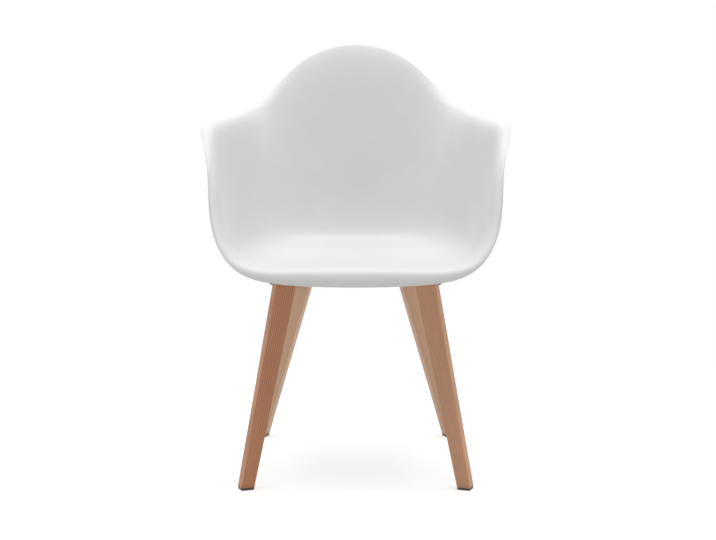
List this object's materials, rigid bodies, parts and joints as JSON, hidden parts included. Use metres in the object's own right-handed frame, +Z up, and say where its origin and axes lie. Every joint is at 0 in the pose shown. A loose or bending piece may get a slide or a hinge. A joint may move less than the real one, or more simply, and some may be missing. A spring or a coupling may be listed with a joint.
{
  "type": "shell armchair",
  "caption": "Tub armchair with a one-piece moulded plastic shell on splayed, tapered wooden legs joined by a steel frame under the seat.",
  "frame": {"origin": "on the floor, under the middle of the chair's bounding box", "axes": "+Z up; +Y from the front of the seat towards the back; +X to the right when the chair is seen from the front"},
  "size_m": [0.6068, 0.555, 0.8265],
  "materials": {
    "shell_plastic": "satin moulded polypropylene",
    "beech": "clear matt lacquer",
    "frame_paint": "matt black powder coat",
    "bolt_steel": "zinc plated",
    "insert_brass": "plain",
    "spacer_rubber": "matt",
    "cap_plastic": "fine grain",
    "glide_plastic": "fine grain"
  },
  "bodies": {
    "root": {"seat_shell": "shell_plastic", "shell_inserts": "insert_brass", "rubber_spacers": "spacer_rubber", "frame_side_rail_right": "frame_paint", "frame_side_rail_left": "frame_paint", "frame_cross_rail_front": "frame_paint", "frame_cross_rail_rear": "frame_paint", "rail_end_caps": "cap_plastic", "shell_bolts": "bolt_steel", "leg_bolts": "bolt_steel", "leg_inserts": "insert_brass", "glide_pins": "bolt_steel", "leg_front_right": "beech", "leg_bracket_front_right": "frame_paint", "glide_front_right": "glide_plastic", "leg_front_left": "beech", "leg_bracket_front_left": "frame_paint", "glide_front_left": "glide_plastic", "leg_rear_right": "beech", "leg_bracket_rear_right": "frame_paint", "glide_rear_right": "glide_plastic", "leg_rear_left": "beech", "leg_bracket_rear_left": "frame_paint", "glide_rear_left": "glide_plastic"}
  },
  "joints": []
}
